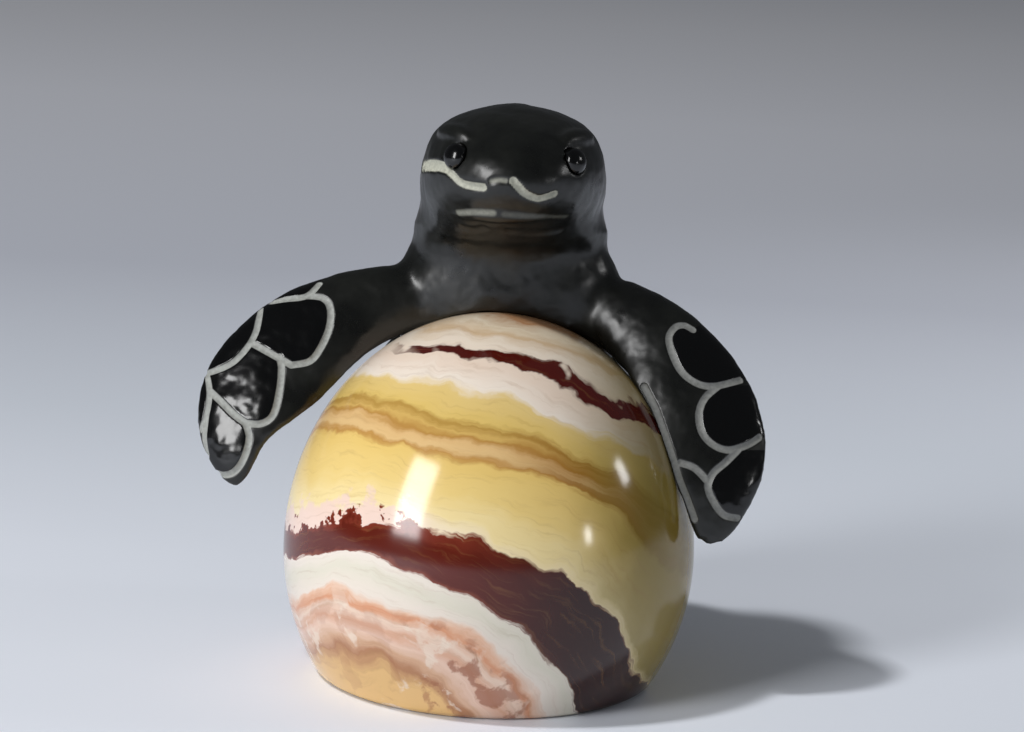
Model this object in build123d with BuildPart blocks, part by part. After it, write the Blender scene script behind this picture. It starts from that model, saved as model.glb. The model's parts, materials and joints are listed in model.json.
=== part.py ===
from build123d import *

import os
from math import cos, radians, sin, sqrt

os.makedirs("parts", exist_ok=True)

# A stone sea turtle that stands behind a stone egg and hugs it. Millimetres, Z up. The turtle faces -Y,
# its left is +X, and the origin is the middle of the egg's flat foot.

# Egg. The turtle is fitted to it, so its places are shares of the egg's radius and top.
egg_radius = 27.5
egg_widest_height = 17.0
egg_upper_rise = 31.8
egg_lower_drop = 29.5
egg_foot_round = 0.8
egg_top = egg_widest_height + egg_upper_rise

# Middle weight of a three-point curve that makes it a quarter of an ellipse
quarter_share = sqrt(0.5)

# Glue between two stones
glue_line = 0.15

# Head and neck, a stack of level slices from the chest up to the crown
chest_lap = 8.8
head_rise = 36.0
head_width = 25.2
head_length = 27.0
head_turn = 6.0
neck_setback_share = 0.418
chest_height = egg_top - chest_lap
neck_setback = egg_radius * neck_setback_share
slice_height_shares = (0, 0.17, 0.31, 0.40, 0.49, 0.58, 0.67, 0.757, 0.837, 0.897, 0.943, 0.975, 0.993)
slice_width_shares = (1.20, 1.22, 1.24, 1.13, 1.03, 0.99, 0.985, 0.975, 0.92, 0.82, 0.655, 0.43, 0.215)
slice_lead_shares = (0, 0, 0, 0, 0, 0.02, 0.06, 0.10, 0.13, 0.15, 0.16, 0.165, 0.165)
slice_front_shares = (0.26, 0.27, 0.29, 0.29, 0.33, 0.47, 0.58, 0.60, 0.535, 0.42, 0.30, 0.19, 0.094)
slice_turn_shares = (0, 0, 0, 0.15, 0.4, 0.7, 0.9, 1, 1, 1, 1, 1, 1)
slice_back_shares = (0.34, 0.34, 0.34, 0.34, 0.34, 0.355, 0.39, 0.415, 0.41, 0.37, 0.30, 0.20, 0.10)
chin_slice = 4
crown_slice = 12

# Brow ridge over each eye
brow_slice = 9
brow_length = 8.0
brow_girth = 3.2
brow_angle = 34.0
brow_lean = 40.0
brow_inset_share = 0.92

# Eyes, polished domes on short stems in drilled sockets
eye_slice = 8
eye_diameter = 3.4
eye_dome = 1.1
eye_stem = 1.6
eye_angle = 47.0
eye_tilt = 16.0
eye_clearance = 0.05

# Shoulders and front flippers, each arm a row of lens-shaped slices along a curved path
flipper_chord = 15.4
flipper_thickness = 5.2
yoke_rise = 0.8
shoulder_fall = 1.0
yoke_setback_share = 0.436
shoulder_spread_share = 0.527
shoulder_setback_share = 0.309
left_reach_share = 0.575
left_drop_share = 0.57
right_reach_share = 0.72
right_drop_share = 0.488
lunge_share = 0.545
yoke_height = egg_top + yoke_rise
shoulder_height = yoke_height - shoulder_fall
path_reach_shares = (0, 0.42, 0.75, 0.94, 1.0, 0.98, 0.95)
path_drop_shares = (0, 0.12, 0.34, 0.55, 0.74, 0.90, 1.0)
path_lunge_shares = (0, 0.28, 0.55, 0.76, 0.90, 0.97, 1.0)
station_shares = (0, 0.15, 0.31, 0.43, 0.55, 0.66, 0.76, 0.86, 0.93, 0.975)
chord_shares = (0.80, 0.70, 0.64, 0.78, 0.94, 1.0, 0.93, 0.69, 0.45, 0.25)
thickness_shares = (2.4, 1.7, 1.25, 1.08, 0.94, 0.82, 0.70, 0.56, 0.44, 0.30)
joint_station_share = 0.31
facing_side_share = 0.25
facing_up_share = 0.30

# Shell on the egg's back
shell_lean = 14.5
shell_radius_share = 0.75
shell_setback_share = 0.51
shell_length_share = 0.564
shell_height_share = 0.553
shell_seam_share = 0.76
shell_radius = egg_radius * shell_radius_share
shell_setback = egg_radius * shell_setback_share
shell_half_length = egg_top * shell_length_share
rim_rise = 1.2
rim_width_share = 0.705
rim_bottom_share = 0.143
rim_half_width = egg_radius * rim_width_share
rim_top = egg_top + rim_rise
rim_bottom = egg_top * rim_bottom_share
rim_width_shares = (1.20, 1.20, 1.12, 0.95, 0.52)
rim_height_shares = (1.0, 0.86, 0.62, 0.30, 0.07)

# Hind flippers, curved plates held against the egg under the shell
hind_length = 17.0
hind_width = 8.4
hind_thickness = 4.0
hind_angle = 48.0
hind_spread_share = 0.51
hind_height_share = 0.176

# Steel dowels in blind holes
pin_diameter = 2.0
pin_length = 9.0
pin_clearance = 0.05
pin_chamfer = 0.3
shoulder_pin_share = 0.88
shell_pin_share = 0.283

overrun = 2.0


def egg_blank(growth):
    """The egg with its surface moved outwards by the growth and its foot ground flat."""
    girth = egg_radius + growth
    top = egg_widest_height + egg_upper_rise + growth
    bottom = egg_widest_height - egg_lower_drop - growth
    widest = (girth, egg_widest_height)
    with BuildPart() as blank:
        with BuildSketch(Plane.XZ):
            with BuildLine():
                Bezier(widest, (girth, top), (0, top), weights=(1, quarter_share, 1))
                Bezier(widest, (girth, bottom), (0, bottom), weights=(1, quarter_share, 1))
                Line((0, top), (0, bottom))
            make_face()
        revolve(axis=Axis.Z)
        split(bisect_by=Plane.XY, keep=Keep.TOP)
    return blank.part


def egg_back(climb_share):
    """A plane on the egg's back at this share of its upper rise, its normal straight out of the stone."""
    height = egg_widest_height + egg_upper_rise * climb_share
    setback = egg_radius * sqrt(1 - climb_share**2)
    outwards = Vector(0, setback / egg_radius**2, climb_share / egg_upper_rise)
    return Plane(origin=(0, setback, height), x_dir=(1, 0, 0), z_dir=outwards)


def dowel_hole(plane):
    """The drilled space for a dowel, half of it to each side of the plane."""
    with BuildPart() as hole:
        with BuildSketch(plane):
            Circle(pin_diameter / 2 + pin_clearance)
        extrude(amount=pin_length / 2 + pin_clearance, both=True)
    return hole.part


def dowel(plane):
    """A steel dowel with chamfered ends, centred on the plane."""
    with BuildPart() as rod:
        with BuildSketch(plane):
            Circle(pin_diameter / 2)
        extrude(amount=pin_length / 2, both=True)
        chamfer(rod.edges().filter_by(GeomType.CIRCLE), pin_chamfer)
    return rod.part


def arm_planes(side, reach_share, drop_share):
    """Planes across one arm, from the middle of the yoke to just short of the flipper's tip, and the tip."""
    points = [Vector(0, egg_radius * yoke_setback_share, yoke_height)]
    for out, down, forward in zip(path_reach_shares, path_drop_shares, path_lunge_shares):
        spread = egg_radius * (shoulder_spread_share + reach_share * out)
        setback = egg_radius * (shoulder_setback_share - lunge_share * forward)
        points.append(Vector(side * spread, setback, shoulder_height - egg_top * drop_share * down))
    with BuildLine() as path:
        Spline(*points)
    facing = Vector(side * facing_side_share, -1, facing_up_share)
    planes = []
    for share in station_shares:
        along = path.line % share
        across = facing.cross(along) * side
        planes.append(Plane(origin=path.line @ share, x_dir=across, z_dir=along))
    return planes, Vertex(*points[-1])


def arm_blank(side, reach_share, drop_share):
    """One shoulder and its flipper in a single sweep of lens-shaped slices."""
    planes, tip = arm_planes(side, reach_share, drop_share)
    with BuildPart() as arm:
        for plane, chord, thickness in zip(planes, chord_shares, thickness_shares):
            half_chord = flipper_chord * chord / 2
            half_thickness = flipper_thickness * thickness / 2
            with BuildSketch(plane):
                with BuildLine():
                    for quarter in (0, 90, 180, 270):
                        EllipticalCenterArc((0, 0), half_chord, half_thickness, quarter, arc_size=90)
                make_face()
        loft(sections=[*arm.pending_faces, tip])
    return arm.part


def joint_plane(side, reach_share, drop_share):
    """The flat glued joint between shoulder and flipper, its normal towards the flipper."""
    planes, tip = arm_planes(side, reach_share, drop_share)
    return planes[station_shares.index(joint_station_share)]


def head_plane(index):
    """The level plane of one head slice, turned with the head about the neck."""
    turn = radians(head_turn * slice_turn_shares[index])
    height = chest_height + head_rise * slice_height_shares[index]
    return Plane(origin=(0, neck_setback, height), x_dir=(cos(turn), sin(turn), 0), z_dir=(0, 0, 1))


def head_stack(first, last):
    """Level slices of neck or head, each with a longer half ellipse towards the beak, closed at the crown."""
    with BuildPart() as blank:
        for index in range(first, last + 1):
            half_width = head_width * slice_width_shares[index] / 2
            middle = (0, -head_length * slice_lead_shares[index])
            front = head_length * slice_front_shares[index]
            back = head_length * slice_back_shares[index]
            with BuildSketch(head_plane(index)):
                with BuildLine():
                    EllipticalCenterArc(middle, half_width, front, 180, arc_size=180)
                    EllipticalCenterArc(middle, half_width, back, 0, arc_size=180)
                make_face()
        sections = [*blank.pending_faces]
        if last == crown_slice:
            crown = head_plane(last).from_local_coords(Vector(*middle))
            sections.append(Vertex(crown.X, crown.Y, chest_height + head_rise))
        loft(sections=sections)
    return blank.part


def head_frame(index, side, angle, inset_share, tilt):
    """A plane on a head slice at this angle forward of the head's side, its normal out of the stone and up."""
    slice_plane = head_plane(index)
    half_width = head_width * slice_width_shares[index] / 2
    front = head_length * slice_front_shares[index]
    middle = -head_length * slice_lead_shares[index]
    sideways = side * cos(radians(angle))
    forward = sin(radians(angle))
    place = Vector(half_width * sideways * inset_share, middle - front * forward * inset_share, 0)
    outwards = Vector(sideways / half_width, -forward / front, 0).normalized() + Vector(0, 0, sin(radians(tilt)))
    origin = slice_plane.from_local_coords(place)
    normal = slice_plane.from_local_coords(outwards) - slice_plane.origin
    return Plane(origin=origin, x_dir=normal.cross(Vector(0, 0, 1)), z_dir=normal)


def eye_socket(side):
    """The drilled space for an eye's stem, open to the outside of the head."""
    plane = head_frame(eye_slice, side, eye_angle, 1, eye_tilt)
    with BuildPart() as socket:
        with BuildSketch(plane.offset(-eye_stem - eye_clearance)):
            Circle(eye_diameter / 2 + eye_clearance)
        extrude(amount=eye_stem + eye_clearance + eye_dome)
    return socket.part


def eye_inlay(side):
    """A domed eye on its stem."""
    plane = head_frame(eye_slice, side, eye_angle, 1, eye_tilt)
    with BuildPart() as inlay:
        with BuildSketch(plane):
            Circle(eye_diameter / 2)
        extrude(amount=-eye_stem)
        with BuildSketch(Plane(origin=plane.origin, x_dir=plane.x_dir, z_dir=-plane.y_dir)):
            with BuildLine():
                EllipticalCenterArc((0, 0), eye_diameter / 2, eye_dome, 0, arc_size=90)
                Line((0, eye_dome), (0, 0))
                Line((0, 0), (eye_diameter / 2, 0))
            make_face()
        revolve(axis=Axis(plane.origin, plane.z_dir))
    return inlay.part


def brow_ridge(side):
    """A rounded ridge on the head over one eye, laid along its outline."""
    plane = head_frame(brow_slice, side, brow_angle, brow_inset_share, brow_lean)
    with BuildPart() as ridge:
        with BuildSketch(plane):
            with BuildLine():
                EllipticalCenterArc((0, 0), brow_length / 2, brow_girth / 2, 0, arc_size=180)
                Line((-brow_length / 2, 0), (brow_length / 2, 0))
            make_face()
        revolve(axis=Axis(plane.origin, plane.x_dir), revolution_arc=180)
    return ridge.part


def rim_outline(growth):
    """The shell's outline as seen from behind, moved outwards by the growth and cut through to the back."""
    span = rim_top - rim_bottom
    half = []
    for width, height in zip(rim_width_shares, rim_height_shares):
        half.append((rim_half_width * width + growth, rim_bottom - growth + (span + growth) * height))
    mirrored = [(-across, up) for across, up in reversed(half)]
    with BuildPart() as prism:
        with BuildSketch(Plane.XZ):
            with BuildLine():
                Spline(*half, (0, rim_bottom - growth), *mirrored)
                Line(mirrored[-1], half[0])
            make_face()
        extrude(amount=-(shell_setback + shell_radius + shell_half_length))
    return prism.part


def hind_flipper(side):
    """A curved plate with a paddle outline, held against the egg beside the shell's tail end."""
    with BuildPart() as paddle:
        with BuildSketch(Plane.XZ):
            with Locations((side * egg_radius * hind_spread_share, egg_top * hind_height_share)):
                Ellipse(hind_length / 2, hind_width / 2, rotation=-side * hind_angle)
        extrude(amount=-(egg_radius + hind_thickness + overrun))
        add(egg_blank(glue_line + hind_thickness), mode=Mode.INTERSECT)
        add(egg_hollow, mode=Mode.SUBTRACT)
        add(rim_outline(glue_line), mode=Mode.SUBTRACT)
    return paddle.part


left_arm = arm_blank(1, left_reach_share, left_drop_share)
right_arm = arm_blank(-1, right_reach_share, right_drop_share)
left_joint = joint_plane(1, left_reach_share, left_drop_share)
right_joint = joint_plane(-1, right_reach_share, right_drop_share)
egg_hollow = egg_blank(glue_line)
shoulder_pin_plane = egg_back(shoulder_pin_share)
shell_pin_plane = egg_back(shell_pin_share)
seam_on_egg = egg_back(shell_seam_share)
seam = Plane(origin=seam_on_egg.origin, x_dir=(1, 0, 0), z_dir=seam_on_egg.y_dir)

with BuildPart() as egg:
    add(egg_blank(0))
    fillet(egg.edges().group_by(Axis.Z)[0], egg_foot_round)
    add(dowel_hole(shoulder_pin_plane), mode=Mode.SUBTRACT)
    add(dowel_hole(shell_pin_plane), mode=Mode.SUBTRACT)

with BuildPart() as head_and_shoulders:
    add(head_stack(0, chin_slice))
    add(head_stack(chin_slice, crown_slice))
    add(brow_ridge(1))
    add(brow_ridge(-1))
    add(split(left_arm, bisect_by=left_joint, keep=Keep.BOTTOM, mode=Mode.PRIVATE))
    add(split(right_arm, bisect_by=right_joint, keep=Keep.BOTTOM, mode=Mode.PRIVATE))
    add(egg_hollow, mode=Mode.SUBTRACT)
    split(bisect_by=seam, keep=Keep.BOTTOM)
    add(eye_socket(1), mode=Mode.SUBTRACT)
    add(eye_socket(-1), mode=Mode.SUBTRACT)
    add(dowel_hole(shoulder_pin_plane), mode=Mode.SUBTRACT)
    add(dowel_hole(left_joint), mode=Mode.SUBTRACT)
    add(dowel_hole(right_joint), mode=Mode.SUBTRACT)

with BuildPart() as left_flipper:
    add(left_arm)
    split(bisect_by=left_joint, keep=Keep.TOP)
    add(egg_hollow, mode=Mode.SUBTRACT)
    add(dowel_hole(left_joint), mode=Mode.SUBTRACT)

with BuildPart() as right_flipper:
    add(right_arm)
    split(bisect_by=right_joint, keep=Keep.TOP)
    add(egg_hollow, mode=Mode.SUBTRACT)
    add(dowel_hole(right_joint), mode=Mode.SUBTRACT)

with BuildPart() as left_eye:
    add(eye_inlay(1))

with BuildPart() as right_eye:
    add(eye_inlay(-1))

with BuildPart() as carapace:
    lean = radians(shell_lean)
    dome_middle = (0, shell_setback, egg_top * shell_height_share)
    dome_plane = Plane(origin=dome_middle, x_dir=(0, cos(lean), sin(lean)), z_dir=(1, 0, 0))
    with BuildSketch(dome_plane):
        with BuildLine():
            for end in (shell_half_length, -shell_half_length):
                Bezier((shell_radius, 0), (shell_radius, end), (0, end), weights=(1, quarter_share, 1))
            Line((0, shell_half_length), (0, -shell_half_length))
        make_face()
    revolve(axis=Axis(dome_plane.origin, dome_plane.y_dir))
    add(rim_outline(0), mode=Mode.INTERSECT)
    split(bisect_by=seam, keep=Keep.TOP)
    add(egg_hollow, mode=Mode.SUBTRACT)
    add(dowel_hole(shell_pin_plane), mode=Mode.SUBTRACT)

with BuildPart() as left_hind_flipper:
    add(hind_flipper(1))

with BuildPart() as right_hind_flipper:
    add(hind_flipper(-1))

with BuildPart() as flipper_pins:
    add(dowel(left_joint))
    add(dowel(right_joint))

with BuildPart() as egg_pins:
    add(dowel(shoulder_pin_plane))
    add(dowel(shell_pin_plane))

pieces = {
    "egg": egg,
    "head_and_shoulders": head_and_shoulders,
    "left_flipper": left_flipper,
    "right_flipper": right_flipper,
    "left_eye": left_eye,
    "right_eye": right_eye,
    "carapace": carapace,
    "left_hind_flipper": left_hind_flipper,
    "right_hind_flipper": right_hind_flipper,
    "flipper_pins": flipper_pins,
    "egg_pins": egg_pins,
}
for name, piece in pieces.items():
    piece.part.label = name
    export_step(piece.part, f"parts/{name}.step")
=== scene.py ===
import json
from math import cos, pi, radians, sin

import bpy
from mathutils import Matrix, Vector, kdtree
from mathutils.geometry import interpolate_bezier

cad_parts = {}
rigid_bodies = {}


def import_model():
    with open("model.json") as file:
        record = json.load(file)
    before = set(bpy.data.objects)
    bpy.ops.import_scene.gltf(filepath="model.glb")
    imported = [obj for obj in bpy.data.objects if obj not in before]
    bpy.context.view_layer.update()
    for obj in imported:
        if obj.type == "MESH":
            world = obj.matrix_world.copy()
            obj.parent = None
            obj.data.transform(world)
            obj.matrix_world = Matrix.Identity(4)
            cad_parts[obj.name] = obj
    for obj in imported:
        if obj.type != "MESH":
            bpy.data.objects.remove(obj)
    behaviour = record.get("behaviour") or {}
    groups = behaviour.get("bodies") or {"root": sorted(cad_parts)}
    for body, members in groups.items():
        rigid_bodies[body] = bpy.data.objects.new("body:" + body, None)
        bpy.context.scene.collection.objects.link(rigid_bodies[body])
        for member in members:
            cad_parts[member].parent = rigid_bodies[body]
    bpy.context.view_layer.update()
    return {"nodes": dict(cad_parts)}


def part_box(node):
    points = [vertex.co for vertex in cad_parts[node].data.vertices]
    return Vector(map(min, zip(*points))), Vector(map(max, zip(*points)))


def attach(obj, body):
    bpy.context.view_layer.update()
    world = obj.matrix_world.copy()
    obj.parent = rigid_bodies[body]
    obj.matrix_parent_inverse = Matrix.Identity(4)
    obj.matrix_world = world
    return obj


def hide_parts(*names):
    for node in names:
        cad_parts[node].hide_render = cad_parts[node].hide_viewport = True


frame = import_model()
mm = 0.001

# Egg
# An egg of banded sedimentary stone, turned and polished, with its lower end ground flat to stand on.
# The turtle is glued and pinned to its back.
egg_low, egg_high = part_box("egg")
egg_radius = (egg_high.x - egg_low.x) / 2
egg_widest_height = 17.0 * mm
egg_lower_drop = 29.5 * mm
egg_foot_round = 0.8 * mm
egg_foot_steps = 4
egg_foot_angle = radians(40)
egg_segments = 160
egg_rings = 96
egg_middle = Vector((0, 0, egg_widest_height))


def pick(piece, chosen):
    """Goes into edit mode with only the vertices selected that pass the test."""
    bpy.ops.object.select_all(action="DESELECT")
    piece.select_set(True)
    bpy.context.view_layer.objects.active = piece
    bpy.ops.object.mode_set(mode="EDIT")
    bpy.ops.mesh.select_mode(type="VERT")
    bpy.ops.mesh.select_all(action="DESELECT")
    bpy.ops.object.mode_set(mode="OBJECT")
    for vertex in piece.data.vertices:
        vertex.select = chosen(vertex)
    bpy.ops.object.mode_set(mode="EDIT")


bpy.ops.object.select_all(action="DESELECT")
bpy.ops.mesh.primitive_uv_sphere_add(
    segments=egg_segments, ring_count=egg_rings, radius=egg_radius, location=egg_middle
)
egg = bpy.context.object
egg.name = "banded_egg"
bpy.ops.object.transform_apply(location=True)
upper_stretch = (egg_high.z - egg_middle.z) / egg_radius
pick(egg, lambda vertex: vertex.co.z > egg_middle.z)
bpy.ops.transform.resize(value=(1, 1, upper_stretch), center_override=egg_middle)
bpy.ops.object.mode_set(mode="OBJECT")
lower_stretch = egg_lower_drop / egg_radius
pick(egg, lambda vertex: vertex.co.z < egg_middle.z)
bpy.ops.transform.resize(value=(1, 1, lower_stretch), center_override=egg_middle)
bpy.ops.mesh.select_all(action="SELECT")
bpy.ops.mesh.bisect(plane_co=(0, 0, 0), plane_no=(0, 0, 1), use_fill=True, clear_inner=True)
bpy.ops.mesh.bevel(offset=egg_foot_round, segments=egg_foot_steps)
bpy.ops.object.mode_set(mode="OBJECT")
bpy.ops.object.shade_smooth_by_angle(angle=egg_foot_angle)

# The photograph's viewpoint. The layers of the stone and the drawing on the flippers are set out as they
# are seen from it.
view_azimuth = radians(5.6)
view_elevation = radians(12)
view_roll = radians(2.5)
view_distance = 450 * mm
view_target = Vector((0, 0, 37 * mm))
level_right = Vector((cos(view_azimuth), sin(view_azimuth), 0))
view_back = Vector((sin(view_azimuth), -cos(view_azimuth), 0)) * cos(view_elevation)
view_back.z = sin(view_elevation)
level_up = view_back.cross(level_right)
view_right = level_right * cos(view_roll) + level_up * sin(view_roll)
view_up = level_up * cos(view_roll) - level_right * sin(view_roll)
viewpoint = view_target + view_back * view_distance


def linear(colour):
    """A colour written as six sRGB hex digits, in linear light."""
    shares = [int(colour[start:start + 2], 16) / 255 for start in (0, 2, 4)]
    return [s / 12.92 if s <= 0.04045 else ((s + 0.055) / 1.055) ** 2.4 for s in shares] + [1]


def add_node(tree, kind, settings, inputs):
    """Adds a node with its settings or a ramp's stops; an input is a value or another node's output."""
    node = tree.nodes.new(kind)
    for name, value in settings.items():
        if name != "stops":
            setattr(node, name, value)
            continue
        while len(node.color_ramp.elements) < len(value):
            node.color_ramp.elements.new(1)
        for element, (position, colour, cover) in zip(node.color_ramp.elements, value):
            element.position = position
            element.color = linear(colour)[:3] + [cover]
    for name, value in inputs.items():
        if isinstance(value, bpy.types.NodeSocket):
            tree.links.new(value, node.inputs[name])
        else:
            node.inputs[name].default_value = value
    return node


def in_millimetres(tree):
    """The place on the piece, in millimetres."""
    coordinates = add_node(tree, "ShaderNodeTexCoord", {}, {})
    place = add_node(
        tree, "ShaderNodeVectorMath", {"operation": "SCALE"},
        {0: coordinates.outputs["Object"], "Scale": 1 / mm},
    )
    return place.outputs[0]


def folded(tree, places, size, detail, reach):
    """Places pushed to and fro by clouds of this size in millimetres, as far as the reach."""
    noise = add_node(
        tree, "ShaderNodeTexNoise", {},
        {"Vector": places, "Scale": 1 / size, "Detail": detail, "Roughness": cloud_fineness},
    )
    centred = add_node(
        tree, "ShaderNodeVectorMath", {"operation": "SUBTRACT"},
        {0: noise.outputs["Color"], 1: (0.5, 0.5, 0.5)},
    )
    pushed = add_node(
        tree, "ShaderNodeVectorMath", {"operation": "MULTIPLY_ADD"},
        {0: centred.outputs[0], 1: (reach, reach, reach), 2: places},
    )
    return pushed.outputs[0]


def laid_over(tree, stone, colour, strength, edges):
    """A stone with a colour laid over it, stains and painted shade alike. Each edge is a measure, where the
    colour starts and where it is full.
    """
    share = strength
    for measure, start, full in edges:
        share = add_node(
            tree, "ShaderNodeMapRange", {"interpolation_type": "SMOOTHSTEP"},
            {"Value": measure, "From Min": start, "From Max": full, "To Max": share},
        ).outputs["Result"]
    mix = add_node(tree, "ShaderNodeMix", {"data_type": "RGBA"}, {"Factor": share, 6: stone, 7: colour})
    return mix.outputs[2]


# Polished banded stone: domed layers about a point low on the left, cream and peach at the top, then thin
# maroon, yellow with ochre streaks, a thick maroon layer, white, and mottled peach at the foot. A high gloss
# lies over the soft bands. Measures are in millimetres, and layers are counted outwards from that point.
cloud_fineness = 0.55
layer_middle_across = -18.7
layer_middle_height = -46.1 + view_target.dot(view_up) / mm
layer_flatness = 1.3
layer_first = 8.0
layer_last = 60.0
layer_stops = (
    (9, "e0b878"), (12, "e2b97c"), (13.5, "b07c58"), (14.6, "d2a888"), (16, "e8c8b4"), (17.6, "d8a88c"),
    (18.8, "ead0bc"), (20, "d6956e"), (20.9, "e6bea2"), (21.7, "e9ddd0"), (24, "ddd7c5"), (26, "e8ddd2"),
    (30.5, "f0e2d0"), (33.5, "eed9a0"), (37, "e6c980"), (41.2, "e0bf70"), (41.9, "b98a48"),
    (42.6, "dcb982"), (43.6, "d6b078"), (44.4, "b18340"), (45.2, "ceaa60"), (45.9, "ab853e"),
    (46.6, "d8b96a"), (49.2, "dcc07c"), (50.2, "eaded0"), (52.6, "e4d0be"), (55.8, "e8dac8"),
    (57.2, "d0b491"), (58.6, "e4d4ba"), (60, "b98a62"),
)
broad_fold_size = 15
broad_fold_reach = 6.0
fine_fold_size = 3.6
fine_fold_reach = 2.2
lamina_stretch = 0.08
streak_size = 0.9
streak_reach = 1.0
banded = bpy.data.materials.new("banded_stone_polished")
banded.use_nodes = True
tree = banded.node_tree
places = in_millimetres(tree)
bedding = folded(tree, places, broad_fold_size, 2, broad_fold_reach)
bedding = folded(tree, bedding, fine_fold_size, 3, fine_fold_reach)
across, upwards, backwards = [
    add_node(
        tree, "ShaderNodeVectorMath", {"operation": "DOT_PRODUCT"}, {0: bedding, 1: way}
    ).outputs["Value"]
    for way in (view_right, view_up, view_back)
]
seen = add_node(tree, "ShaderNodeCombineXYZ", {}, {"X": across, "Y": upwards})
flattened = add_node(
    tree, "ShaderNodeVectorMath", {"operation": "DIVIDE"}, {0: seen.outputs[0], 1: (layer_flatness, 1, 1)}
)
layer = add_node(
    tree, "ShaderNodeVectorMath", {"operation": "DISTANCE"},
    {0: flattened.outputs[0], 1: (layer_middle_across / layer_flatness, layer_middle_height, 0)},
).outputs["Value"]
bed = add_node(tree, "ShaderNodeCombineXYZ", {}, {"X": layer, "Y": across, "Z": backwards})
lamina = add_node(
    tree, "ShaderNodeVectorMath", {"operation": "MULTIPLY"},
    {0: bed.outputs[0], 1: (1, lamina_stretch, lamina_stretch)},
).outputs[0]
streaks = add_node(
    tree, "ShaderNodeTexNoise", {},
    {"Vector": lamina, "Scale": 1 / streak_size, "Detail": 4, "Roughness": cloud_fineness},
).outputs["Fac"]
sway = add_node(
    tree, "ShaderNodeMapRange", {}, {"Value": streaks, "To Min": -streak_reach, "To Max": streak_reach}
)
depth = add_node(tree, "ShaderNodeMath", {"operation": "ADD"}, {0: layer, 1: sway.outputs[0]}).outputs[0]
counted = add_node(
    tree, "ShaderNodeMapRange", {}, {"Value": depth, "From Min": layer_first, "From Max": layer_last}
)
layer_span = layer_last - layer_first
ramp_stops = [((place - layer_first) / layer_span, colour, 1) for place, colour in layer_stops]
ramp = add_node(tree, "ShaderNodeValToRGB", {"stops": ramp_stops}, {"Fac": counted.outputs[0]})
stone = ramp.outputs["Color"]

# Ochre that thickens to the right, and on the right flank an olive that is partly the stone's colour and
# partly painted shade on the side away from the lamps
ochre_bottom = (41.0, 42.2)
ochre_top = (47.0, 45.6)
ochre_right = (0.0, 13.0)
olive_shade_bottom = (32.0, 34.0)
olive_shade_right = (8.0, 24.0)
ochre_strength = add_node(
    tree, "ShaderNodeMapRange", {},
    {"Value": streaks, "From Min": 0.3, "From Max": 0.6, "To Min": 0.425, "To Max": 0.85},
).outputs[0]
ochre_edges = ((depth, *ochre_bottom), (depth, *ochre_top), (across, *ochre_right))
stone = laid_over(tree, stone, linear("97641f"), ochre_strength, ochre_edges)
# Painted shade, partly the stone's own olive: the right flank is darkened towards olive.
stone = laid_over(tree, stone, linear("84722c"), 0.85, ((across, *olive_shade_right), (depth, *olive_shade_bottom)))

# Spots of rust, more of them on the right, and of chalk at the foot
fleck_size = 4.5
foot_top = (22.0, 18.5)
rust_flecks = (0.52, 0.60)
chalk_flecks = (0.58, 0.66)
rust_left = -14.0
rust_right = -4.0
fleck_noise = add_node(
    tree, "ShaderNodeTexNoise", {},
    {"Vector": bedding, "Scale": 1 / fleck_size, "Detail": 4, "Roughness": cloud_fineness},
)
flecks = add_node(tree, "ShaderNodeSeparateXYZ", {}, {"Vector": fleck_noise.outputs["Color"]})
rust_strength = add_node(
    tree, "ShaderNodeMapRange", {"interpolation_type": "SMOOTHSTEP"},
    {"Value": across, "From Min": rust_left, "From Max": rust_right, "To Min": 0.2, "To Max": 0.75},
).outputs[0]
rust_edges = ((depth, *foot_top), (flecks.outputs["X"], *rust_flecks))
stone = laid_over(tree, stone, linear("9a5c40"), rust_strength, rust_edges)
chalk_edges = ((depth, *foot_top), (flecks.outputs["Z"], *chalk_flecks))
stone = laid_over(tree, stone, linear("efe0cf"), 0.6, chalk_edges)

# Thin maroon under the cap, broken in places and thicker to the right
gap_size = 7.0
gap_edge = (0.32, 0.40)
thin_left = (-12.0, -8.0)
thin_bottom = (53.0, 53.5)
thin_top = (0, -0.5)
gap_noise = add_node(
    tree, "ShaderNodeTexNoise", {},
    {"Vector": places, "Scale": 1 / gap_size, "Detail": 3, "Roughness": cloud_fineness},
)
gaps = add_node(tree, "ShaderNodeSeparateXYZ", {}, {"Vector": gap_noise.outputs["Color"]}).outputs["Y"]
thin_height = add_node(
    tree, "ShaderNodeMapRange", {},
    {"Value": across, "From Min": -6.0, "From Max": 12.0, "To Min": 54.7, "To Max": 55.6},
)
above_thin = add_node(
    tree, "ShaderNodeMath", {"operation": "SUBTRACT"}, {0: depth, 1: thin_height.outputs[0]}
).outputs[0]
thin_edges = ((gaps, *gap_edge), (across, *thin_left), (depth, *thin_bottom), (above_thin, *thin_top))
stone = laid_over(tree, stone, linear("4a1009"), 1, thin_edges)

# The thick maroon, thin left and wide right, with white flames and rust drips along its upper left edge
maroon_left = -27.0
maroon_right = 11.0
maroon_bottoms = (26.6, 24.6)
maroon_tops = (29.8, 32.8)
maroon_stops = (
    (0.0, "8a4a36", 0), (0.04, "7c3a28", 1), (0.15, "5a1a0d", 1), (0.7, "5e1c0e", 1), (0.95, "7a3020", 1),
    (1.0, "a06048", 0),
)
painted_shade_right = (-6.0, 14.0)
drip_size = 2.4
drip_reach = 2.4
flame_left = (-4.0, -14.0)
flame_bottom = (-1.0, 0)
flame_tip = (1.0, 0.6)
maroon_bottom, maroon_top = [
    add_node(
        tree, "ShaderNodeMapRange", {"interpolation_type": "SMOOTHSTEP"},
        {"Value": across, "From Min": maroon_left, "From Max": maroon_right, "To Min": left, "To Max": right},
    ).outputs[0]
    for left, right in (maroon_bottoms, maroon_tops)
]
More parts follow.
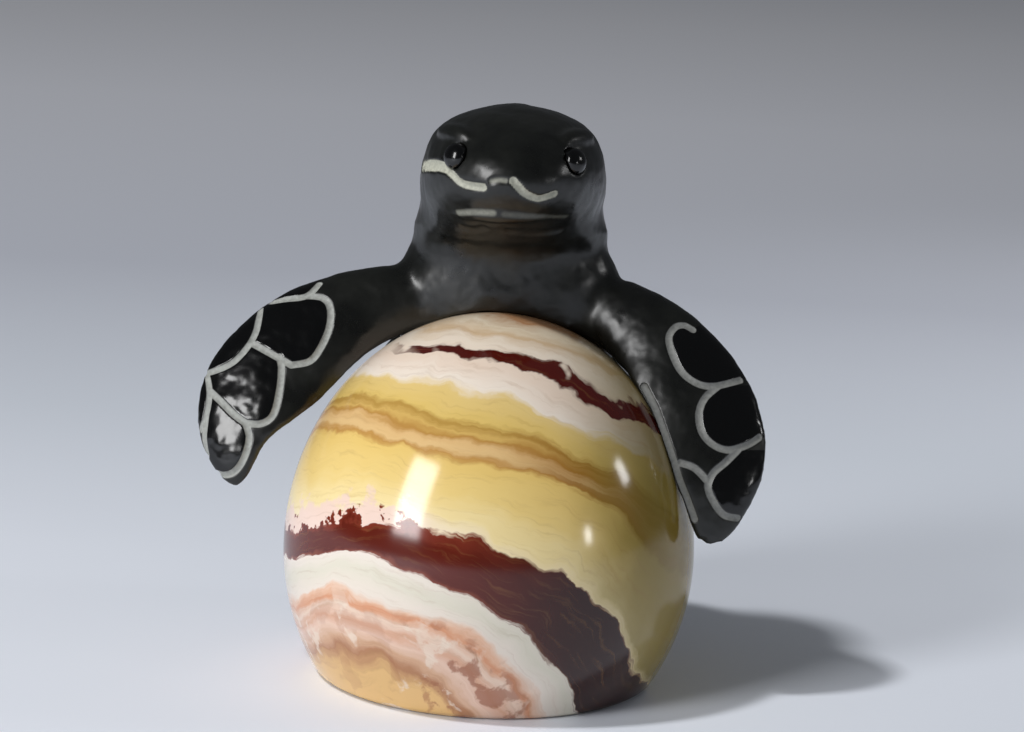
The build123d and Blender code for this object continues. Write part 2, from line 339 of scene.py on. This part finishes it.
drips = add_node(
    tree, "ShaderNodeTexNoise", {},
    {"Vector": places, "Scale": 1 / drip_size, "Detail": 3, "Roughness": cloud_fineness},
).outputs["Fac"]
flame_height = add_node(
    tree, "ShaderNodeMapRange", {},
    {"Value": drips, "From Min": 0.35, "From Max": 0.65, "To Min": 1.5, "To Max": 5.5},
)
above_maroon = add_node(
    tree, "ShaderNodeMath", {"operation": "SUBTRACT"}, {0: depth, 1: maroon_top}
).outputs[0]
flame_share = add_node(
    tree, "ShaderNodeMath", {"operation": "DIVIDE"}, {0: above_maroon, 1: flame_height.outputs[0]}
).outputs[0]
flame_edges = ((above_maroon, *flame_bottom), (flame_share, *flame_tip), (across, *flame_left))
stone = laid_over(tree, stone, linear("ebcfc2"), 0.9, flame_edges)
left_drip = add_node(
    tree, "ShaderNodeMapRange", {"interpolation_type": "SMOOTHSTEP"},
    {"Value": across, "From Min": flame_left[0], "From Max": flame_left[1], "To Max": drip_reach},
)
drip_height = add_node(
    tree, "ShaderNodeMapRange", {},
    {"Value": drips, "From Min": 0.55, "From Max": 0.36, "To Max": left_drip.outputs[0]},
)
maroon_edge = add_node(
    tree, "ShaderNodeMath", {"operation": "ADD"}, {0: maroon_top, 1: drip_height.outputs[0]}
).outputs[0]
maroon_share = add_node(
    tree, "ShaderNodeMapRange", {}, {"Value": depth, "From Min": maroon_bottom, "From Max": maroon_edge}
)
maroon = add_node(tree, "ShaderNodeValToRGB", {"stops": maroon_stops}, {"Fac": maroon_share.outputs[0]})
stone = laid_over(tree, stone, maroon.outputs["Color"], maroon.outputs["Alpha"], ())
# Painted shade: the thick maroon is darkened further towards the right, where the egg turns away from the
# lamps.
stone = laid_over(tree, stone, linear("2e0904"), maroon.outputs["Alpha"], ((across, *painted_shade_right),))

# Hair veins along the layers, and the polish
vein_size = 0.5
vein_edge = (0.5, 0.75)
veins = add_node(
    tree, "ShaderNodeTexNoise", {},
    {"Vector": lamina, "Scale": 1 / vein_size, "Detail": 5, "Roughness": cloud_fineness},
).outputs["Fac"]
stone = laid_over(tree, stone, linear("9a7040"), 0.2, ((veins, *vein_edge),))
shader = tree.nodes["Principled BSDF"]
tree.links.new(stone, shader.inputs["Base Color"])
shader.inputs["Roughness"].default_value = 0.13
shader.inputs["IOR"].default_value = 1.55
egg.data.materials.append(banded)
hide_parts("egg")
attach(egg, "root")

# Steel dowels
# Short plain rods in blind holes across the glued joints, two at the shoulders and two in the egg. They are
# hidden inside the stone and keep the shape they have in the frame.
scratch_size = 0.4
# Drawn steel rod: grey metal whose shine is blurred unevenly by the marks of the drawing die.
steel = bpy.data.materials.new("steel_rod_drawn")
steel.use_nodes = True
tree = steel.node_tree
shader = tree.nodes["Principled BSDF"]
scratches = add_node(
    tree, "ShaderNodeTexNoise", {},
    {"Vector": in_millimetres(tree), "Scale": 1 / scratch_size, "Detail": 2, "Roughness": cloud_fineness},
)
blur = add_node(
    tree, "ShaderNodeMapRange", {},
    {"Value": scratches.outputs["Fac"], "From Min": 0.3, "From Max": 0.7, "To Min": 0.28, "To Max": 0.42},
)
tree.links.new(blur.outputs[0], shader.inputs["Roughness"])
shader.inputs["Base Color"].default_value = linear("b4b6b8")
shader.inputs["Metallic"].default_value = 1
for dowels in ("flipper_pins", "egg_pins"):
    frame["nodes"][dowels].data.materials.clear()
    frame["nodes"][dowels].data.materials.append(steel)

# Head and shoulders
# Black stone, hollowed to sit on the egg and glued to the two flippers. The joints were smoothed over and
# polished with the whole figure, so head and flippers are shaped as one stone here and sawn at the joints.
grain = 0.27 * mm
weld_distance = 0.001 * mm
joint_lap = 0.12 * mm
joint_blend = 3 * grain
rod_end_share = 0.9
crease_round = 0.7 * mm
rub_rounds = 8
hollow_limit = 0.07 * grain
hollow_growth = 5
hollow_rubs = 60
swell_depth = 0.35 * mm
swell_size = 4 * mm
edge_angle = radians(50)
throat_height = 59 * mm
jaw_radius = 1.7 * mm
jaw_inset = 0.45 * jaw_radius
jaw_tip_share = 0.25
drawing_step = 0.15
fewest_steps = 3


def box_middle(places):
    """The middle of the box round these places."""
    return Vector([(min(values) + max(values)) / 2 for values in zip(*places)])


def shoulder_joint(side):
    """Middle and outward direction of a shoulder joint, taken from the dowel that crosses it squarely."""
    rod = [vertex.co for vertex in frame["nodes"]["flipper_pins"].data.vertices if vertex.co.x * side > 0]
    middle = box_middle(rod)
    corner = max(rod, key=lambda place: (place.x - middle.x) * side + (middle.z - place.z)) - middle
    end = [place for place in rod if (place - middle).dot(corner) > rod_end_share * corner.length_squared]
    return middle, (box_middle(end) - middle).normalized()


def only(*pieces):
    """Selects these pieces alone, the last one active."""
    bpy.ops.object.select_all(action="DESELECT")
    for piece in pieces:
        piece.select_set(True)
        bpy.context.view_layer.objects.active = piece


def stone_copy(name, node):
    """A copy of a CAD node's shape, its loose triangles merged and its stored surface directions dropped."""
    stone = bpy.data.objects.new(name, frame["nodes"][node].data.copy())
    bpy.context.scene.collection.objects.link(stone)
    stone.data.materials.clear()
    pick(stone, lambda vertex: True)
    bpy.ops.mesh.remove_doubles(threshold=weld_distance)
    bpy.ops.object.mode_set(mode="OBJECT")
    bpy.ops.mesh.customdata_custom_splitnormals_clear()
    return stone


def even_faces(stone):
    """Turns a stone's mesh into small even faces."""
    only(stone)
    stone.data.remesh_voxel_size = grain
    bpy.ops.object.voxel_remesh()


def push(stone, amount, group=""):
    """Moves a stone's surface outwards by this amount, all of it or as far as a vertex group says."""
    move = stone.modifiers.new("push", "DISPLACE")
    move.mid_level = 0
    move.strength = amount
    move.vertex_group = group
    only(stone)
    bpy.ops.object.modifier_apply(modifier=move.name)


def carve_smooth(stone):
    """Gives a stone small even faces, rounds its sharp creases and rubs its edges smooth."""
    even_faces(stone)
    push(stone, crease_round)
    even_faces(stone)
    push(stone, -crease_round)
    even_faces(stone)
    rub = stone.modifiers.new("rub", "SMOOTH")
    rub.factor = 0.5
    rub.iterations = rub_rounds
    bpy.ops.object.modifier_apply(modifier="rub")
    bpy.ops.object.shade_smooth()


def soften_creases(stone, chosen):
    """Rubs the sharp hollows of a stone into soft ones where the test allows."""
    lean = [Vector() for vertex in stone.data.vertices]
    for edge in stone.data.edges:
        start, end = edge.vertices
        step = stone.data.vertices[end].co - stone.data.vertices[start].co
        lean[start] += step
        lean[end] -= step
    pick(stone, lambda vertex: chosen(vertex.co) and lean[vertex.index].dot(vertex.normal) > hollow_limit)
    for growth in range(hollow_growth):
        bpy.ops.mesh.select_more()
    bpy.ops.mesh.vertices_smooth(factor=0.5, repeat=hollow_rubs)
    bpy.ops.object.mode_set(mode="OBJECT")


def hand_rub(stone, depth, size):
    """Leaves a stone slightly uneven, with shallow swells of about this size."""
    swells = bpy.data.textures.new("swells", "CLOUDS")
    swells.noise_scale = size
    move = stone.modifiers.new("swell", "DISPLACE")
    move.texture = swells
    move.texture_coords = "LOCAL"
    move.strength = depth
    only(stone)
    bpy.ops.object.modifier_apply(modifier="swell")


def hide_joint(piece, whole, middle, across_joint):
    """Lets light fall beside a sawn joint as on the whole stone, so that the joint doesn't show."""
    beside = piece.vertex_groups.new(name="beside")
    near = [v.index for v in piece.data.vertices if abs((v.co - middle).dot(across_joint)) < joint_blend]
    beside.add(near, 1, "REPLACE")
    match = piece.modifiers.new("match", "DATA_TRANSFER")
    match.object = whole
    match.use_loop_data = True
    match.data_types_loops = {"CUSTOM_NORMAL"}
    match.loop_mapping = "POLYINTERP_NEAREST"
    match.vertex_group = beside.name
    only(piece)
    bpy.ops.object.modifier_apply(modifier="match")
    piece.vertex_groups.clear()


def flowing(points):
    """A smooth line through drawn points, in short steps."""
    # At each point the line heads from the point before to the point after, so a sixth of that is its handle.
    knots = [Vector(point) for point in (points[0], *points, points[-1])]
    line = []
    for before, start, end, after in zip(knots, knots[1:], knots[2:], knots[3:]):
        steps = max(fewest_steps, round((end - start).length / drawing_step))
        leave = start + (end - before) / 6
        arrive = end - (after - start) / 6
        line += interpolate_bezier(start, leave, arrive, end, steps)[:-1]
    return line + [knots[-1]]


# A sight is a picture plane's middle, right and up, and the point it is looked at from. Drawings are in
# millimetres on the picture plane.
front_sight = (view_target, view_right, view_up, viewpoint)


def on_stone(stone, points, sight, lift):
    """The places on a stone that a drawn line covers when it is looked at, raised off the surface."""
    target, right, up, lookout = sight
    places = []
    for drawn in flowing(points):
        aim = target + right * drawn.x * mm + up * drawn.y * mm
        hit, place, normal, face = stone.ray_cast(lookout, (aim - lookout).normalized())
        if hit:
            places.append(place + normal * lift)
    return places


def rod_along(places, radius):
    """A round rod along a row of places, drawn out thin at its ends."""
    curve = bpy.data.curves.new("rod", "CURVE")
    curve.dimensions = "3D"
    curve.bevel_depth = radius
    curve.bevel_resolution = 3
    curve.use_fill_caps = True
    spline = curve.splines.new("POLY")
    spline.points.add(len(places) - 1)
    for step, (point, place) in enumerate(zip(spline.points, places)):
        point.co = (*place, 1)
        point.radius = jaw_tip_share + (1 - jaw_tip_share) * sin(pi * step / (len(places) - 1))
    rod = bpy.data.objects.new("rod", curve)
    bpy.context.scene.collection.objects.link(rod)
    only(rod)
    bpy.ops.object.convert(target="MESH")
    return bpy.context.object


def sawn(stone, name, cuts):
    """A copy of a stone without what lies beyond each saw cut, the cuts closed flat."""
    piece = bpy.data.objects.new(name, stone.data.copy())
    bpy.context.scene.collection.objects.link(piece)
    for middle, beyond in cuts:
        pick(piece, lambda vertex: True)
        bpy.ops.mesh.bisect(plane_co=middle, plane_no=beyond, use_fill=True, clear_outer=True)
        bpy.ops.object.mode_set(mode="OBJECT")
    return piece


def note(stone, name, shares):
    """Keeps a share from 0 to 1 at each vertex of a stone, where its material finds it."""
    marks = stone.data.attributes.get(name) or stone.data.attributes.new(name, "FLOAT", "POINT")
    marks.data.foreach_set("value", [max(mark.value, share) for mark, share in zip(marks.data, shares)])


def engrave(stone, drawing, sight, radius, depth, frost_and_highlight):
    """Cuts drawn lines into a stone as round grooves, and notes how pale they are left: frosted lines, and
    the lip lines as painted highlight.
    """
    places = [place for points in drawing for place in on_stone(stone, points, sight, 0)]
    near = kdtree.KDTree(len(places))
    for index, place in enumerate(places):
        near.insert(place, index)
    near.balance()
    shares = [max(0, 1 - (near.find(vertex.co)[2] / radius) ** 2) for vertex in stone.data.vertices]
    groove = stone.vertex_groups.new(name="groove")
    for index, share in enumerate(shares):
        if share > 0:
            groove.add([index], share, "REPLACE")
    push(stone, -depth, "groove")
    stone.vertex_groups.clear()
    note(stone, "etched", [share * frost_and_highlight for share in shares])


# Polished black stone: near black with faint clouds and a broad soft gloss. Scales and eyes are blacker and
# polished higher, and lines cut with a burr are left frosted and matt.
# The same pale, matt colour is also laid along the lower lip as painted highlight.
cloud_size = 7
dust_size = 0.5
black_stops = ((0, "0a0b09", 1), (1, "151613", 1))
scale_black = "020202"
scale_roughness = 0.17
frost_roughness = 0.65


def black_stone(name, line_colour):
    """Polished black stone with lines of this colour where it is noted as etched; on the head the same colour
    is painted highlight along the lower lip.
    """
    material = bpy.data.materials.new(name)
    material.use_nodes = True
    tree = material.node_tree
    places = in_millimetres(tree)
    etched = add_node(tree, "ShaderNodeAttribute", {"attribute_name": "etched"}, {}).outputs["Fac"]
    scale = add_node(tree, "ShaderNodeAttribute", {"attribute_name": "scale"}, {}).outputs["Fac"]
    clouds, grit = [
        add_node(
            tree, "ShaderNodeTexNoise", {},
            {"Vector": places, "Scale": 1 / size, "Detail": detail, "Roughness": cloud_fineness},
        ).outputs["Fac"]
        for size, detail in ((cloud_size, 5), (dust_size, 2))
    ]
    cloudy = add_node(
        tree, "ShaderNodeMapRange", {}, {"Value": clouds, "From Min": 0.35, "From Max": 0.65}
    ).outputs[0]
    dust = add_node(
        tree, "ShaderNodeMapRange", {}, {"Value": grit, "From Min": 0.3, "From Max": 0.7, "To Min": 0.7}
    ).outputs[0]
    frost_and_highlight = add_node(
        tree, "ShaderNodeMapRange", {"interpolation_type": "SMOOTHSTEP"},
        {"Value": etched, "From Min": 0.05, "From Max": 0.5, "To Max": dust},
    ).outputs[0]
    stone = add_node(tree, "ShaderNodeValToRGB", {"stops": black_stops}, {"Fac": cloudy}).outputs["Color"]
    stone = laid_over(tree, stone, linear(scale_black), scale, ())
    stone = laid_over(tree, stone, linear(line_colour), frost_and_highlight, ())
    plain = add_node(tree, "ShaderNodeMapRange", {}, {"Value": cloudy, "To Min": 0.26, "To Max": 0.42})
    gloss = add_node(
        tree, "ShaderNodeMapRange", {},
        {"Value": scale, "To Min": plain.outputs[0], "To Max": scale_roughness},
    )
    roughness = add_node(
        tree, "ShaderNodeMapRange", {},
        {"Value": frost_and_highlight, "To Min": gloss.outputs[0], "To Max": frost_roughness},
    )
    shader = tree.nodes["Principled BSDF"]
    tree.links.new(stone, shader.inputs["Base Color"])
    tree.links.new(roughness.outputs[0], shader.inputs["Roughness"])
    shader.inputs["IOR"].default_value = 1.55
    return material


turtle = stone_copy("turtle_blank", "head_and_shoulders")
left_joint, left_outwards = shoulder_joint(1)
right_joint, right_outwards = shoulder_joint(-1)
lower_jaw = ((-7.6, 25.4), (-4.6, 25.0), (-1.3, 25.0), (2.0, 24.8), (5.6, 24.6), (9.3, 24.9))
additions = [rod_along(on_stone(turtle, lower_jaw, front_sight, -jaw_inset), jaw_radius)]
for flipper, outwards in (("left_flipper", left_outwards), ("right_flipper", right_outwards)):
    blank = stone_copy("flipper_blank", flipper)
    pick(blank, lambda vertex: True)
    bpy.ops.transform.translate(value=-outwards * joint_lap)
    bpy.ops.object.mode_set(mode="OBJECT")
    additions.append(blank)
only(*additions, turtle)
bpy.ops.object.join()
carve_smooth(turtle)
soften_creases(turtle, lambda place: place.z < throat_height)
hand_rub(turtle, swell_depth, swell_size)
head = sawn(turtle, "head_and_shoulders_stone", [(left_joint, left_outwards), (right_joint, right_outwards)])
head.data.materials.append(black_stone("black_stone_cream_line_and_highlight", "b3b3a4"))

# The mouth is a cream line in two waves, with a fainter piece between them. Under it, two faint pale lines
# along the lower lip are painted highlight where the jaw's edge catches the light, and plain folds lie below
# the chin.
mouth_right = (
    (-10.2, 31.1), (-8.4, 31.3), (-6.7, 31.1), (-5.7, 30.3), (-4.7, 29.3), (-3.3, 28.8), (-1.6, 28.6)
)
mouth_corner = ((-9.9, 31.7), (-8.3, 31.8), (-6.8, 31.5))
mouth_left = ((2.4, 29.5), (3.1, 28.7), (4.1, 27.7), (5.8, 27.1), (7.9, 27.7))
mouth_middle = ((-0.5, 29.4), (0.4, 29.6), (1.4, 29.5))
right_lip_highlight = ((-4.9, 25.2), (-2.6, 25.3), (-0.3, 25.2))
left_lip_highlight = ((1.2, 25.0), (4.0, 24.8), (6.6, 24.7), (9.4, 24.7))
chin_folds = (((-4.0, 23.2), (-2.8, 23.0), (-1.6, 23.2)), ((2.0, 22.8), (5.2, 22.6), (8.4, 23.0)))
face_lines = (
    {"drawing": chin_folds, "radius": 0.9 * mm, "depth": 0.15 * mm, "frost_and_highlight": 0},
    # The two lip lines are painted highlight: pale colour where the edge of the jaw catches the light.
    {"drawing": [right_lip_highlight], "radius": 0.75 * mm, "depth": 0.05 * mm, "frost_and_highlight": 0.3},
    {"drawing": [left_lip_highlight], "radius": 0.75 * mm, "depth": 0.05 * mm, "frost_and_highlight": 0.17},
    {"drawing": [mouth_middle], "radius": 0.55 * mm, "depth": 0.2 * mm, "frost_and_highlight": 0.3},
    {"drawing": [mouth_right, mouth_corner, mouth_left], "radius": 0.62 * mm, "depth": 0.3 * mm, "frost_and_highlight": 1},
)
for line in face_lines:
    engrave(head, sight=front_sight, **line)
only(head)
bpy.ops.object.shade_smooth_by_angle(angle=edge_angle)
hide_joint(head, turtle, left_joint, left_outwards)
hide_joint(head, turtle, right_joint, right_outwards)
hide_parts("head_and_shoulders")
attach(head, "root")

# Front flippers
# Each flipper is one black stone, ground to a thin blade that lies round the egg. Its scales are outlined
# with a small burr that leaves pale frosted lines, and their insides are polished higher than the rest.
burr_radius = 0.55 * mm
burr_depth = 0.25 * mm
right_lines = {
    "shoulder": ((-31.5, 13.0), (-28.2, 13.7), (-25.1, 14.2), (-23.4, 15.8)),
    "inner": (
        (-25.1, 14.2), (-22.9, 13.9), (-21.9, 12.5), (-22.1, 9.8), (-23.3, 7.1), (-24.7, 5.5), (-27.1, 5.0)
    ),
    "inner_end": ((-27.1, 5.0), (-28.9, 6.0), (-30.5, 6.9), (-32.5, 8.0)),
    "upper": ((-31.1, 13.1), (-31.7, 9.8), (-32.5, 8.0)),
    "upper_end": ((-32.5, 8.0), (-33.5, 6.7), (-34.7, 5.5), (-36.3, 4.6), (-38.4, 3.9)),
    "middle": ((-28.7, 6.1), (-28.4, 4.5), (-28.7, 1.4), (-29.5, -1.6), (-31.1, -2.8), (-33.2, -2.7)),
    "middle_end": ((-33.2, -2.7), (-34.8, -1.5), (-36.3, 0), (-38.0, 1.6)),
    "edge": ((-38.4, 3.9), (-38.0, 1.4), (-38.4, -1.6), (-39.2, -3.6)),
    "lower": ((-33.2, -2.7), (-32.7, -4.7), (-33.4, -7.4), (-34.7, -9.2), (-36.4, -9.6), (-37.8, -8.4)),
    "lower_end": ((-37.8, -8.4), (-38.2, -7.4), (-38.7, -4.7), (-38.4, -1.6)),
}
left_lines = {
    "upper": (
        (26.3, 9.7), (25.1, 10.3), (23.9, 10.0), (23.1, 8.5), (23.8, 5.9), (25.0, 3.9), (27.0, 2.5),
        (29.2, 2.2), (32.6, 3.0),
    ),
    "middle": (
        (29.8, 2.3), (27.9, 0.6), (27.1, -1.5), (27.5, -3.9), (29.0, -5.6), (31.1, -6.3), (33.6, -5.6),
        (35.2, -4.6),
    ),
    "lower": (
        (32.3, -6.3), (30.7, -7.9), (29.0, -9.4), (28.3, -11.1), (29.0, -13.1), (30.4, -14.9), (32.3, -15.4)
    ),
    "branch": ((24.6, -8.0), (26.5, -8.7), (28.2, -10.4)),
    "rim": (
        (19.8, 2.1), (21.2, -0.6), (22.4, -3.8), (23.5, -7.0), (24.5, -10.2), (25.6, -13.0), (26.5, -15.5)
    ),
}

# A scale is the drawn lines round it, by name, and the points that close its outline.
right_scales = (
    (("shoulder",), ((-21.9, 17.6), (-32.6, 15.6))),
    (("upper", "upper_end"), ((-39.9, 5.7), (-35.9, 11.7), (-31.9, 13.7))),
    (("edge",), ((-41.2, -3.6), (-41.2, 3.7))),
    (("inner", "inner_end"), ((-31.7, 9.8), (-31.1, 13.1), (-28.2, 13.7))),
    (("middle", "middle_end"), ((-38.4, 3.9), (-36.3, 4.6), (-34.7, 5.5), (-32.5, 8.0), (-30.5, 6.9))),
    (("lower", "lower_end"), ((-38.0, 1.6), (-36.3, 0), (-34.8, -1.5))),
)
left_scales = (
    (("upper",), ((36.6, 4.3), (29.9, 12.3))),
    (("middle",), ((39.2, -5.0), (37.9, 2.3))),
    (("lower",), ((36.6, -15.6), (37.2, -6.3))),
)


def inside(drawn, outline):
    """Whether a drawn point lies inside a drawn outline."""
    crossings = 0
    for (start_x, start_y), (end_x, end_y) in zip(outline, [*outline[1:], outline[0]]):
        if (start_y > drawn.y) != (end_y > drawn.y):
            crossings += drawn.x < start_x + (end_x - start_x) * (drawn.y - start_y) / (end_y - start_y)
    return crossings % 2 == 1


def polish_scales(stone, outlines, sight):
    """Notes which vertices of a stone lie inside drawn scales, on the side that is looked at."""
    target, right, up, lookout = sight
    straight = lookout - target
    shares = []
    for vertex in stone.data.vertices:
        ray = vertex.co - lookout
        spot = lookout + ray * (straight.length_squared / -ray.dot(straight)) - target
        drawn = Vector((spot.dot(right), spot.dot(up))) / mm
        facing = vertex.normal.dot(ray) < 0
        shares.append(1.0 if facing and any(inside(drawn, outline) for outline in outlines) else 0.0)
    note(stone, "scale", shares)


# The right flipper, on the side the lamps light, has its lines painted paler than those on the shaded left
# flipper, the shell and the hind flippers: painted light and shade on one kind of frosted line.
grey_lined = black_stone("black_stone_grey_lines", "7f807d")
lit_side_lined = black_stone("black_stone_lit_side_lines", "a2a49f")
left_flipper = sawn(turtle, "left_flipper_stone", [(left_joint, -left_outwards)])
right_flipper = sawn(turtle, "right_flipper_stone", [(right_joint, -right_outwards)])
for flipper, finish, lines, scales, node, joint, outwards in (
    (left_flipper, grey_lined, left_lines, left_scales, "left_flipper", left_joint, left_outwards),
    (right_flipper, lit_side_lined, right_lines, right_scales, "right_flipper", right_joint, right_outwards),
):
    finer = flipper.modifiers.new("finer", "SUBSURF")
    finer.subdivision_type = "SIMPLE"
    finer.levels = 1
    finer.render_levels = 1
    only(flipper)
    bpy.ops.object.modifier_apply(modifier="finer")
    outlines = [
        [point for name in names for point in lines[name]] + list(closing) for names, closing in scales
    ]
    polish_scales(flipper, outlines, front_sight)
    engrave(flipper, lines.values(), front_sight, burr_radius, burr_depth, 1)
    flipper.data.materials.append(finish)
    only(flipper)
    bpy.ops.object.shade_smooth_by_angle(angle=edge_angle)
    hide_joint(flipper, turtle, joint, outwards)
    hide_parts(node)
    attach(flipper, "root")
bpy.data.objects.remove(turtle)

# Eyes
# Small domes of the blackest stone, turned and polished, glued in drilled sockets.
for node in ("left_eye", "right_eye"):
    dome = stone_copy(node + "_dome", node)
    note(dome, "scale", [1.0] * len(dome.data.vertices))
    dome.data.materials.append(grey_lined)
    only(dome)
    bpy.ops.object.shade_smooth_by_angle(angle=edge_angle)
    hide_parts(node)
    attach(dome, "root")

# Shell
# One domed black stone on the egg's back, with its plates outlined by the same burr as the flippers' scales.
# The drawing is in millimetres as seen from behind, and one half of it is mirrored across the spine.
rear_target = Vector((0, 0, 28 * mm))
rear_lookout = Vector((0, 500 * mm, 60 * mm))
rear_sight = (rear_target, Vector((1, 0, 0)), Vector((0, 0, 1)), rear_lookout)
plate_line_radius = 0.5 * mm
plate_line_depth = 0.3 * mm
spine_plates = (
    (4.2, 12.5), (6.6, 8.5), (4.2, 4.5), (6.6, 0.5), (4.0, -3.5), (5.6, -7.5), (3.2, -11.5), (4.2, -16)
)
side_plates = (((6.6, 8.5), (15.5, 10)), ((6.6, 0.5), (16.5, 0.5)), ((5.6, -7.5), (13.5, -10)))
border = ((14.5, 16), (16.8, 10), (17.2, 2), (15.5, -7), (11, -14.5), (5, -17.8), (0, -18.6))


def mirrored(points):
    """A drawn line on the other side of the spine."""
    return [(-sideways, up) for sideways, up in points]


cross_lines = [((-sideways, up), (sideways, up)) for sideways, up in spine_plates[0:7:2]]
straight_steps = [pair for line in (spine_plates, mirrored(spine_plates)) for pair in zip(line, line[1:])]
plate_lines = [*straight_steps, *cross_lines, *side_plates, border]
plate_lines += [mirrored(line) for line in (*side_plates, border)]
carapace = stone_copy("carapace_stone", "carapace")
carve_smooth(carapace)
engrave(carapace, plate_lines, rear_sight, plate_line_radius, plate_line_depth, 1)
carapace.data.materials.append(grey_lined)
only(carapace)
bpy.ops.object.shade_smooth_by_angle(angle=edge_angle)
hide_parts("carapace")
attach(carapace, "root")

# Hind flippers
# Two short black stone paddles glued against the egg beside the shell's tail end, with two rows of scales.
paddle_line_depth = 0.2 * mm
paddle_lines = (
    ((10.6, -16.4), (12.6, -18.0), (14.4, -17.4), (14.6, -15.4)),
    ((14.4, -17.4), (16.4, -18.4), (18.2, -17.6), (18.6, -15.8)),
    ((12.6, -18.0), (13.2, -20.4), (15.2, -21.4), (16.8, -20.2), (16.4, -18.4)),
)
for node, lines in (
    ("left_hind_flipper", paddle_lines), ("right_hind_flipper", [mirrored(line) for line in paddle_lines])
):
    paddle = stone_copy(node + "_stone", node)
    carve_smooth(paddle)
    engrave(paddle, lines, rear_sight, plate_line_radius, paddle_line_depth, 1)
    paddle.data.materials.append(grey_lined)
    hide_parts(node)
    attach(paddle, "root")

# Floor, lights and camera
# A pale sheet that runs far back behind the ornament, a tall window and a higher lamp on the left, two small
# lamps on the right and one over the sheet behind.
floor_side = 4000 * mm
floor_setback = 900 * mm
painted_falloff_range = 1000
painted_falloff_stops = (
    (0.05, "ecf1fb", 1), (0.15, "dce2ec", 1), (0.3, "cfd3de", 1), (0.6, "e8eaf2", 1), (0.9, "eff0f6", 1)
)
bpy.ops.object.select_all(action="DESELECT")
bpy.ops.mesh.primitive_plane_add(size=floor_side, location=(0, floor_setback, 0))
floor = bpy.context.object
floor.name = "pale_floor"
bpy.ops.object.transform_apply(location=True)

# Matt paper, pale and slightly blue. Its colour carries painted shade and light: greyer in a zone behind the
# ornament and paler far back, standing in for the way light falls off across the sheet.
sheet = bpy.data.materials.new("pale_paper_sheet")
sheet.use_nodes = True
tree = sheet.node_tree
shader = tree.nodes["Principled BSDF"]
setback = add_node(
    tree, "ShaderNodeVectorMath", {"operation": "DOT_PRODUCT"}, {0: in_millimetres(tree), 1: (0, 1, 0)}
)
zone = add_node(
    tree, "ShaderNodeMapRange", {}, {"Value": setback.outputs["Value"], "From Min": 0, "From Max": painted_falloff_range}
)
painted_falloff = add_node(tree, "ShaderNodeValToRGB", {"stops": painted_falloff_stops}, {"Fac": zone.outputs[0]})
tree.links.new(painted_falloff.outputs["Color"], shader.inputs["Base Color"])
shader.inputs["Roughness"].default_value = 0.7
floor.data.materials.append(sheet)


def soft_light(name, aim, right, up, toward, distance, width, height, power, in_polish):
    """A flat lamp in this direction from its aim as the camera sees it; polish mirrors it or doesn't."""
    lamp = bpy.data.lights.new(name, "AREA")
    lamp.shape = "RECTANGLE"
    lamp.size = width
    lamp.size_y = height
    lamp.energy = power
    holder = bpy.data.objects.new(name, lamp)
    bpy.context.scene.collection.objects.link(holder)
    reach = view_right * right + view_up * up + view_back * toward
    holder.location = aim + reach.normalized() * distance
    holder.rotation_mode = "QUATERNION"
    holder.rotation_quaternion = reach.to_track_quat("Z", "Y")
    holder.visible_glossy = in_polish
    return lamp


soft_light(
    "tall_window", view_target, right=-0.67, up=0.26, toward=0.70,
    distance=700 * mm, width=200 * mm, height=400 * mm, power=3.0, in_polish=True,
)
soft_light(
    "high_lamp", view_target, right=-0.43, up=0.83, toward=0.36,
    distance=1500 * mm, width=120 * mm, height=120 * mm, power=11.0, in_polish=False,
)
soft_light(
    "right_lamp", view_target, right=0.92, up=0.32, toward=0.05,
    distance=700 * mm, width=70 * mm, height=100 * mm, power=0.25, in_polish=True,
)
soft_light(
    "right_front_lamp", view_target, right=0.82, up=-0.02, toward=0.56,
    distance=700 * mm, width=40 * mm, height=70 * mm, power=0.16, in_polish=True,
)
floor_lamp = soft_light(
    "floor_lamp", Vector((190 * mm, 220 * mm, 0)), right=0.4, up=0.9, toward=0.0,
    distance=600 * mm, width=100 * mm, height=100 * mm, power=0.075, in_polish=False,
)
floor_lamp.spread = radians(45)

world = bpy.data.worlds.new("soft_room")
bpy.context.scene.world = world
world.use_nodes = True
room = world.node_tree.nodes["Background"]
room.inputs["Color"].default_value = linear("dfe5ee")
room.inputs["Strength"].default_value = 0.1

lens = bpy.data.cameras.new("camera")
lens.lens = 119
lens.sensor_width = 36
lens.shift_x = 0.0165
lens.shift_y = 0.0358
camera = bpy.data.objects.new("camera", lens)
bpy.context.scene.collection.objects.link(camera)
camera.location = viewpoint
camera.rotation_mode = "QUATERNION"
camera.rotation_quaternion = Matrix((view_right, view_up, view_back)).transposed().to_quaternion()
bpy.context.scene.camera = camera
bpy.context.scene.view_settings.view_transform = "Standard"
